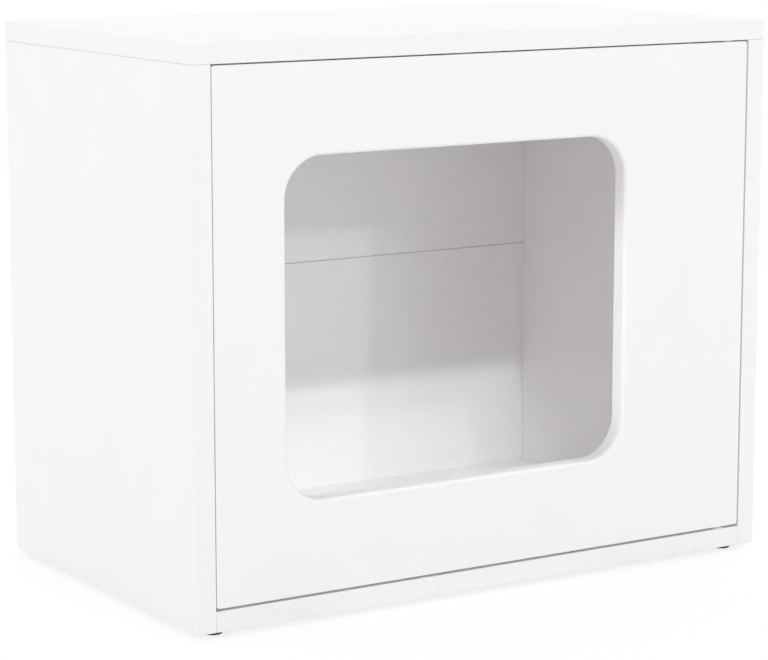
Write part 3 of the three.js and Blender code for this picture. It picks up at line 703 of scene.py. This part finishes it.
def make_door():
    """A slab whose outline and entrance have as many points each, joined ring by ring."""
    low, high = box_mm("door_panel")
    centre = (low + high) / 2
    half = (high - low) / 2
    opening_low, opening_high = entrance_mm()
    middle = (opening_low + opening_high) / 2 - centre
    reach = (opening_high - opening_low) / 2

    def outer(inset, y):
        radius = DOOR_CORNER - inset
        points = rounded_rectangle(half.x - inset, half.z - inset, radius, ENTRANCE_STEPS)
        return [(x, y, z) for x, z in points]

    def inner(widening, y):
        radius = ENTRANCE_CORNER + widening
        points = rounded_rectangle(reach.x + widening, reach.z + widening, radius, ENTRANCE_STEPS)
        return [(x + middle.x, y, z + middle.z) for x, z in points]

    section = []
    for inset, drop in reversed(rounding(DOOR_ROUNDING, ROUNDING_STEPS)):
        section.append((outer, inset, drop - half.y))
    for widening, drop in rounding(ENTRANCE_FRONT_ROUNDING, ENTRANCE_ROUNDING_STEPS):
        section.append((inner, widening, drop - half.y))
    for widening, drop in reversed(rounding(ENTRANCE_BACK_ROUNDING, ROUNDING_STEPS)):
        section.append((inner, widening, half.y - drop))
    for inset, drop in rounding(DOOR_ROUNDING, ROUNDING_STEPS):
        section.append((outer, inset, half.y - drop))
    mesh = bmesh.new()
    add_rings(mesh, [outline(amount, y) for outline, amount, y in section], closed=True)
    bmesh.ops.recalc_face_normals(mesh, faces=mesh.faces)
    place = Matrix.Translation(centre * MM)
    piece = new_object("door_panel_finished", to_mesh(mesh, "door_panel", [FOIL]), place)
    cavities = door_cavities()
    cut_away(piece, cavities)
    bpy.data.objects.remove(cavities)
    dress(piece, "door_panel")


# ---- Fasteners ----

def cross_recess(width, slot, depth, past=CUT_PAST):
    """A cutter for a cross recess that narrows as it goes down from Z = 0."""
    mesh = bmesh.new()
    rings = []
    for height, share in ((-depth, RECESS_FLOOR_SHARE), (0, 1.0), (past, 1.0)):
        long = width / 2 * share
        short = slot / 2 * (1 - RECESS_ARM_TAPER + RECESS_ARM_TAPER * share)
        arm = [(long, -short), (long, short), (short, short)]
        ring = []
        for turn in range(4):
            spin = Matrix.Rotation(QUARTER * turn, 2)
            ring.extend((*(spin @ Vector(point)), height) for point in arm)
        rings.append(ring)
    add_loft(mesh, rings)
    return new_object("recess", to_mesh(mesh, "recess", []))


def screw_data(length):
    """A countersunk screw with its head's face at Z = 0."""
    neck = -SCREW_HEAD_DEPTH
    start = SCREW_TIP - length
    end = neck - SCREW_PLAIN_LENGTH
    rim_low, rim_high = SCREW_RIM
    low_chamfer, high_chamfer = SCREW_RIM_CHAMFERS
    profile = [(0, -length), (SCREW_POINT_RADIUS, SCREW_POINT_LENGTH - length)]
    profile += [(SCREW_CORE_RADIUS, start)]
    profile += threaded_profile(SCREW_CORE_RADIUS, start + SCREW_THREAD_START, end, SCREW_PITCH)
    profile += [(SCREW_NECK_RADIUS, neck - SCREW_NECK_LENGTH), (SCREW_SHANK_RADIUS, neck)]
    profile += [(SCREW_HEAD_RADIUS - low_chamfer, -rim_low), (SCREW_HEAD_RADIUS, -rim_high)]
    profile += [(SCREW_HEAD_RADIUS - high_chamfer, 0), (0, 0)]
    mesh = bmesh.new()
    thread = ridge(SCREW_PITCH, SCREW_RIDGE, start, end)
    add_turned(mesh, profile, THREAD_STEPS * 2, thread)
    piece = new_object("screw", to_mesh(mesh, "screw", [STEEL]))
    recess = cross_recess(SCREW_RECESS_WIDTH, SCREW_RECESS_SLOT, SCREW_RECESS_DEPTH)
    cut_away(piece, recess)
    bpy.data.objects.remove(recess)
    data = piece.data
    bpy.data.objects.remove(piece)
    return data


def make_screws():
    made = {}
    for node, axis in SCREW_AXES.items():
        length = round(length_along(node, axis), 1)
        if length not in made:
            made[length] = screw_data(length)
        piece = new_object(f"{node}_finished", made[length].copy(), stand(node, axis))
        dress(piece, node)


def cam_data():
    """A cam whose face looks along +Z, and whose window for the bolt opens towards +X."""
    radius = CAM_RADIUS
    depth = length_along(f"cam_{JOINT_NAMES[0]}", cam_axis(JOINT_NAMES[0]))
    inside = radius - CAM_BORDER
    profile = [(0, -depth), (radius - FINE_CHAMFER, -depth), (radius, FINE_CHAMFER - depth)]
    profile += [(radius, -CAM_RIM), (radius - CAM_RIM, 0), (inside, 0)]
    profile += [(inside - FINE_CHAMFER, -CAM_FACE_DROP), (0, -CAM_FACE_DROP)]
    mesh = bmesh.new()
    add_turned(mesh, profile, TURNED_STEPS)
    piece = new_object("cam", to_mesh(mesh, "cam", [ZINC]))
    mesh = bmesh.new()
    window = [(0, -CAM_WINDOW_BACK), (CAM_WINDOW_RADIUS, -CAM_WINDOW_BACK)]
    window += [(CAM_WINDOW_RADIUS, radius + CUT_PAST), (0, radius + CUT_PAST)]
    turn = Matrix.Translation((0, 0, -CAM_BOLT_DEPTH)) @ Matrix.Rotation(QUARTER, 4, "Y")
    add_turned(mesh, window, TURNED_STEPS, matrix=turn)
    for cutter in (
        new_object("window", to_mesh(mesh, "window", [])),
        cross_recess(CAM_RECESS_WIDTH, CAM_RECESS_SLOT, CAM_RECESS_DEPTH),
    ):
        cut_away(piece, cutter)
        bpy.data.objects.remove(cutter)
    data = piece.data
    bpy.data.objects.remove(piece)
    return data


def bolt_data(length):
    """A cam bolt with its thread's tip at Z = 0 and its head below."""
    head = -length
    neck = head + BOLT_HEAD_LENGTH
    shank = neck + BOLT_NECK_LENGTH
    meet = head + BOLT_TO_JOINT
    core = BOLT_THREAD_RADIUS - BOLT_RIDGE
    chamfered = BOLT_SHANK_RADIUS - FINE_CHAMFER
    profile = [(0, head), (BOLT_HEAD_RADIUS - BOLT_HEAD_CHAMFER, head)]
    profile += [(BOLT_HEAD_RADIUS, head + BOLT_HEAD_CHAMFER), (BOLT_HEAD_RADIUS, head + BOLT_HEAD_RIM)]
    profile += [(BOLT_NECK_RADIUS, neck), (BOLT_NECK_RADIUS, shank)]
    profile += [(chamfered, shank), (BOLT_SHANK_RADIUS, shank + FINE_CHAMFER)]
    profile += [(BOLT_SHANK_RADIUS, meet - FINE_CHAMFER), (chamfered, meet)]
    profile += threaded_profile(core, meet + BOLT_THREAD_START, -BOLT_THREAD_END, BOLT_PITCH)
    profile += [(core * BOLT_TIP_SHARE, -BOLT_TIP_LENGTH), (0, 0)]
    mesh = bmesh.new()
    add_turned(mesh, profile, THREAD_STEPS, ridge(BOLT_PITCH, BOLT_RIDGE, meet, -BOLT_RUNOUT))
    return to_mesh(mesh, "cam_bolt", [STEEL])


def dowel_data(length):
    """A fluted dowel with its end at Z = 0."""
    radius = DOWEL_RADIUS
    start = DOWEL_CHAMFER
    profile = [(0, -length), (radius - start, -length), (radius, start - length)]
    profile += [(radius, start * 2 - length), (radius, -start * 2)]
    profile += [(radius, -start), (radius - start, 0), (0, 0)]

    def flute(_, height, angle):
        if not start < -height < length - start:
            return 0
        wave = (1 - math.cos(angle * DOWEL_FLUTES)) / 2
        return -DOWEL_FLUTE_DEPTH * wave ** DOWEL_FLUTE_SHARPNESS

    mesh = bmesh.new()
    add_turned(mesh, profile, DOWEL_FLUTES * STEPS_PER_FLUTE, flute)
    return to_mesh(mesh, "dowel", [BEECH])


def make_corner_joints():
    cam = cam_data()
    bolts = {}
    dowels = {}
    for joint in JOINT_NAMES:
        axis = bolt_axis(joint)
        node = f"cam_{joint}"
        piece = new_object(f"{node}_finished", cam.copy(), stand(node, cam_axis(joint), axis))
        dress(piece, node)
        for made, kind, build, slot in (
            (bolts, "cam_bolt", bolt_data, "steel"),
            (dowels, "dowel", dowel_data, "beech"),
        ):
            node = f"{kind}_{joint}"
            length = round(length_along(node, axis), 2)
            if length not in made:
                made[length] = build(length)
            piece = new_object(f"{node}_finished", made[length].copy(), stand(node, axis))
            dress(piece, node)


# ---- Feet ----

def make_feet():
    low, high = box_mm(FEET[0])
    radius = (high.x - low.x) / 2
    total = high.z - low.z
    floor = -total
    seat = floor + FOOT_HEIGHT
    dish = floor + FOOT_DISH_DEPTH
    border = radius - FOOT_DISH_BORDER
    profile = [(0, dish), (border - FOOT_DISH_DEPTH, dish), (border, floor)]
    for inset, drop in rounding(FOOT_ROUNDING, ROUNDING_STEPS):
        profile.append((radius - inset, floor + drop))
    profile += [(radius, seat - FOOT_UPPER_CHAMFER), (radius - FOOT_UPPER_CHAMFER, seat)]
    profile.append((FOOT_PEG_RADIUS, seat))
    core = FOOT_PEG_RADIUS - FOOT_BARB_DEPTH
    barb = (total - FOOT_HEIGHT - FOOT_PEG_TIP) / FOOT_BARBS
    for i in range(FOOT_BARBS):
        base = seat + FOOT_BARB_START + i * barb
        profile += [(core, base), (FOOT_PEG_RADIUS, base + FOOT_BARB_RISE)]
        profile.append((core, base + barb - FOOT_BARB_GAP))
    profile += [(FOOT_PEG_RADIUS - FOOT_TIP_CHAMFER, 0), (0, 0)]
    mesh = bmesh.new()
    add_turned(mesh, profile, TURNED_STEPS)
    data = to_mesh(mesh, "foot", [RUBBER])
    for node in FEET:
        dress(new_object(f"{node}_finished", data.copy(), stand(node, Z)), node)


# ---- Pivots ----

def make_pivots():
    for level, axis in PIN_AXES.items():
        make_pin(f"{level}_pivot_pin", axis)
        make_bush(f"{level}_pivot_bush", axis)
    make_washer("pivot_washer")


def make_pin(node, axis):
    """A pin with its tip at Z = 0 and its other end in the door."""
    low = -length_along(node, axis)
    narrow = PIN_RADIUS - PIN_END_CHAMFER
    profile = [(0, low), (narrow, low), (PIN_RADIUS, low + PIN_END_CHAMFER)]
    profile += [(PIN_RADIUS, -PIN_CHAMFER), (narrow, PIN_TIP_BREAK - PIN_CHAMFER)]
    profile += [(PIN_RADIUS - PIN_CHAMFER, 0), (0, 0)]
    make_turned_piece(node, profile, axis, STEEL)


def make_bush(node, axis):
    """A bush with its flange below and its end in the board at Z = 0."""
    box_low, box_high = box_mm(node)
    flange = (box_high.x - box_low.x) / 2
    low = -length_along(node, axis)
    chamfer = low + FINE_CHAMFER
    seat = low + BUSH_FLANGE
    profile = [(BUSH_BORE, chamfer), (BUSH_BORE + FINE_CHAMFER, low), (flange - FINE_CHAMFER, low)]
    profile += [(flange, chamfer), (flange, seat), (BUSH_RADIUS, seat)]
    profile += [(BUSH_RADIUS, -BUSH_END_CHAMFER), (BUSH_RADIUS - BUSH_END_CHAMFER, 0), (BUSH_BORE, 0)]
    make_turned_piece(node, profile, axis, NYLON)


def make_washer(node):
    box_low, box_high = box_mm(node)
    outer = (box_high.x - box_low.x) / 2
    low = box_low.z - box_high.z
    narrow = outer - WASHER_CHAMFER
    profile = [(WASHER_BORE, low), (narrow, low), (outer, low + WASHER_CHAMFER)]
    profile += [(outer, -WASHER_CHAMFER), (narrow, 0)]
    profile += [(WASHER_BORE + WASHER_BORE_CHAMFER, 0), (WASHER_BORE, -WASHER_BORE_CHAMFER)]
    make_turned_piece(node, profile, Z, NYLON)


def make_turned_piece(node, profile, axis, look):
    mesh = bmesh.new()
    add_turned(mesh, profile, TURNED_STEPS)
    dress(new_object(f"{node}_finished", to_mesh(mesh, node, [look]), stand(node, axis)), node)


# ---- Magnetic catch ----

def make_catch(cavities):
    low, high = box_mm("catch_housing")
    centre = (low + high) / 2
    size = high - low
    mesh = bmesh.new()
    add_rounded_box(mesh, (size.x, size.y, CATCH_BODY_LENGTH), CATCH_ROUNDING)
    place = Matrix.Translation(centre * MM)
    housing = new_object("catch_housing_finished", to_mesh(mesh, "catch_housing", [NYLON]), place)
    mesh = bmesh.new()
    at = (CATCH_EAR / 2 - size.x / 2, size.y / 2 - CATCH_EAR_DEPTH / 2, 0)
    add_rounded_box(mesh, (CATCH_EAR, CATCH_EAR_DEPTH, size.z), CATCH_ROUNDING, at)
    join_with(housing, new_object("ears", to_mesh(mesh, "ears", [NYLON]), place))
    mesh = bmesh.new()
    magnet_low, magnet_high = box_mm("catch_magnet")
    pocket = (magnet_low + magnet_high) / 2 - centre
    width, depth, length = CATCH_POCKET
    at = (pocket.x, -size.y / 2, 0)
    add_rounded_box(mesh, (width, 2 * depth, length), PLATE_ROUNDING, at)
    cutter = new_object("pocket", to_mesh(mesh, "pocket", [NYLON]), place)
    cut_away(housing, cutter)
    bpy.data.objects.remove(cutter)
    cut_away(housing, cavities)
    coat(housing, NYLON)
    dress(housing, "catch_housing")
    make_box_piece("catch_magnet", FERRITE, PLATE_ROUNDING)
    for node in ("catch_pole_plate_outer", "catch_pole_plate_inner"):
        make_box_piece(node, STEEL, PLATE_ROUNDING)


def make_box_piece(node, look, radius):
    low, high = box_mm(node)
    mesh = bmesh.new()
    add_rounded_box(mesh, high - low, radius)
    place = Matrix.Translation((low + high) / 2 * MM)
    dress(new_object(f"{node}_finished", to_mesh(mesh, node, [look]), place), node)


def make_strike():
    low, high = box_mm("strike_plate")
    size = high - low
    mesh = bmesh.new()
    add_rounded_box(mesh, (size.x, size.z, size.y), PLATE_ROUNDING, corner=STRIKE_CORNER)
    place = lay((low + high) / 2 * MM, -Y, X)
    plate = new_object("strike_plate_finished", to_mesh(mesh, "strike_plate", [STEEL]), place)
    cavities = door_cavities()
    cut_away(plate, cavities)
    bpy.data.objects.remove(cavities)
    coat(plate, STEEL)
    dress(plate, "strike_plate")


# ---- Floor, light and camera ----

CAMERA_AT = Vector((-1.3665, -2.1447, 0.6493))  # metres
CAMERA_YAW = math.radians(32.47)
CAMERA_PITCH = math.radians(9.77)
PHOTO_WIDTH = 768  # pixels
FOCAL_LENGTH = 2759  # pixels
SENSOR_WIDTH = 36  # millimetres

SKY_LIGHT = (1.161, 1.145, 1.165)  # what the surroundings shed on things
SKY_SEEN = (1.0, 1.0, 1.0)
DIFFUSE_BOUNCES = 12
FLOOR_SIZE = 40.0  # metres
FLOOR_BELOW = 0.0002  # metres
FLOOR_COLOUR = (0.95, 0.95, 0.95)
FLOOR_WHITENESS = 0.8  # share of plain white in the floor as it is seen
INSIDE_TINT = (0.98, 1.0, 0.97)
PANEL_MARGIN = 0.004  # metres, between a light panel and the door
BEAMS = {  # aside, drop, spread and strength, as in add_beam
    "high_beam_left": (0.49, 0.80, 7, 0.26),
    "high_beam_middle": (0.38, 0.80, 7, 0.08),
    "high_beam_steep": (0.27, 0.90, 8, 0.14),
    "low_beam_right": (-0.15, 0.35, 5, 0.08),
    "low_beam_middle": (0.0, 0.35, 6, 0.033),
    "front_fill": (0.0, -0.1, 60, 0.08),
}
EDGE_LIGHT_SPREAD = 14  # degrees
EDGE_LIGHT_SHARE = 0.75  # of the door's thickness, and of the opposite edge's length
SIDE_EDGE_DROP = 1 / 8  # of the entrance's height, from its middle down to the side light's
SIDE_EDGE_STRENGTH = 0.95
LOWER_EDGE_STRENGTH = 0.6


def add_camera():
    camera = bpy.data.objects.new("camera", bpy.data.cameras.new("camera"))
    bpy.context.scene.collection.objects.link(camera)
    camera.location = CAMERA_AT
    camera.rotation_euler = (QUARTER - CAMERA_PITCH, 0, -CAMERA_YAW)
    camera.data.sensor_width = SENSOR_WIDTH
    camera.data.lens = FOCAL_LENGTH / PHOTO_WIDTH * SENSOR_WIDTH
    bpy.context.scene.camera = camera


def seen_directly(tree):
    """1 for rays that come from the camera, a mirror or glass, and 0 for those that light things."""
    path = tree.nodes.new("ShaderNodeLightPath")
    total = path.outputs["Is Camera Ray"]
    for name in ("Is Glossy Ray", "Is Transmission Ray"):
        larger = tree.nodes.new("ShaderNodeMath")
        larger.operation = "MAXIMUM"
        tree.links.new(total, larger.inputs[0])
        tree.links.new(path.outputs[name], larger.inputs[1])
        total = larger.outputs[0]
    return total


def add_world():
    world = bpy.data.worlds.new("white_surroundings")
    world.use_nodes = True
    tree = world.node_tree
    colour = tree.nodes.new("ShaderNodeMix")
    colour.data_type = "RGBA"
    tree.links.new(seen_directly(tree), colour.inputs[0])
    colour.inputs[FIRST_COLOUR].default_value = (*SKY_LIGHT, 1)
    colour.inputs[SECOND_COLOUR].default_value = (*SKY_SEEN, 1)
    tree.links.new(colour.outputs[MIXED_COLOUR], tree.nodes["Background"].inputs["Color"])
    bpy.context.scene.world = world


def add_floor():
    mesh = bmesh.new()
    half = FLOOR_SIZE / 2
    corners = [(-half, -half), (half, -half), (half, half), (-half, half)]
    mesh.faces.new([mesh.verts.new((x, y, -FLOOR_BELOW)) for x, y in corners])
    data = bpy.data.meshes.new("floor")
    mesh.to_mesh(data)
    mesh.free()
    floor = new_object("floor", data)
    material = bpy.data.materials.new("pale_floor")
    material.use_nodes = True
    tree = material.node_tree
    shader = tree.nodes["Principled BSDF"]
    shader.inputs["Base Color"].default_value = (*FLOOR_COLOUR, 1)
    shader.inputs["Roughness"].default_value = 1.0
    shader.inputs["Specular IOR Level"].default_value = 0.0
    glow = tree.nodes.new("ShaderNodeEmission")
    share = tree.nodes.new("ShaderNodeMath")
    share.operation = "MULTIPLY"
    share.inputs[1].default_value = FLOOR_WHITENESS
    tree.links.new(seen_directly(tree), share.inputs[0])
    mix = tree.nodes.new("ShaderNodeMixShader")
    tree.links.new(share.outputs[0], mix.inputs[0])
    tree.links.new(shader.outputs[0], mix.inputs[1])
    tree.links.new(glow.outputs[0], mix.inputs[2])
    tree.links.new(mix.outputs[0], tree.nodes["Material Output"].inputs["Surface"])
    data.materials.append(material)


def add_panel(name, centre, across, up, size, spread, strength):
    """A light panel about a centre. Its width runs along across and its height along up, and it
    shines along up x across. A strength of 1 sheds as much on a near face as a white sky. It moves
    with the door, as light that comes through the entrance does."""
    light = bpy.data.lights.new(name, "AREA")
    light.shape = "RECTANGLE"
    light.size, light.size_y = size
    light.spread = math.radians(spread)
    light.color = INSIDE_TINT
    light.energy = strength * size[0] * size[1] * math.pi
    lamp = bpy.data.objects.new(name, light)
    bpy.context.scene.collection.objects.link(lamp)
    turn = Matrix((across, up, across.cross(up))).transposed().to_4x4()
    lamp.matrix_world = Matrix.Translation(centre) @ turn
    lamp.visible_camera = False
    lamp.visible_glossy = False
    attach(lamp, frame["nodes"]["door_panel"]["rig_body"])


def add_beam(name, aside, drop, spread, strength):
    """Light that falls through the entrance, as from a softbox in front of the cabinet. For each
    step into the cabin it goes aside to the right and drops by these parts of the step, and it
    spreads by an angle in degrees. Its panel stands just inside the door and casts the shape of the
    entrance, so none of its light meets the outside."""
    ahead = Vector((aside, 1, -drop)).normalized()
    turn_in = -aside / (1 + drop ** 2)  # keeps the upper edge of the lit patch level
    across = Vector((1, turn_in, -drop * turn_in)).normalized()
    up = across.cross(ahead)
    low, high = entrance_mm()
    width = (high.x - low.x) * MM / (across.x - across.y * aside)
    height = (high.z - low.z) * MM / (up.z + up.y * drop)
    centre = (low + high) / 2 * MM
    near = (abs(across.y) * width + abs(up.y) * height) / 2
    depth = high.y * MM - centre.y + near + PANEL_MARGIN
    add_panel(name, centre + ahead * depth / ahead.y, across, up, (width, height), spread, strength)


def add_edge_lights():
    """The same softboxes' light on the right and the lower edge of the entrance. It comes from
    panels in the opposite edges that are thinner than the door."""
    low, high = entrance_mm()
    size = (high - low) * MM * EDGE_LIGHT_SHARE
    centre = (low + high) / 2 * MM
    drop = (high.z - low.z) * MM * SIDE_EDGE_DROP
    left = Vector((low.x * MM + PANEL_MARGIN, centre.y, centre.z - drop))
    top = Vector((centre.x, centre.y, high.z * MM - PANEL_MARGIN))
    side_size = (size.y, size.z)
    top_size = (size.x, size.y)
    add_panel("side_edge_light", left, -Y, Z, side_size, EDGE_LIGHT_SPREAD, SIDE_EDGE_STRENGTH)
    add_panel("lower_edge_light", top, X, Y, top_size, EDGE_LIGHT_SPREAD, LOWER_EDGE_STRENGTH)


# ---- Assembly ----

bpy.context.scene.view_settings.view_transform = "Standard"
bpy.context.scene.cycles.diffuse_bounces = DIFFUSE_BOUNCES
add_camera()
add_world()
add_floor()
for name, beam in BEAMS.items():
    add_beam(name, *beam)
add_edge_lights()

carcass_holes = carcass_cavities()
make_carcass(carcass_holes)
make_catch(carcass_holes)
bpy.data.objects.remove(carcass_holes)
make_door()
make_screws()
make_corner_joints()
make_feet()
make_pivots()
make_strike()
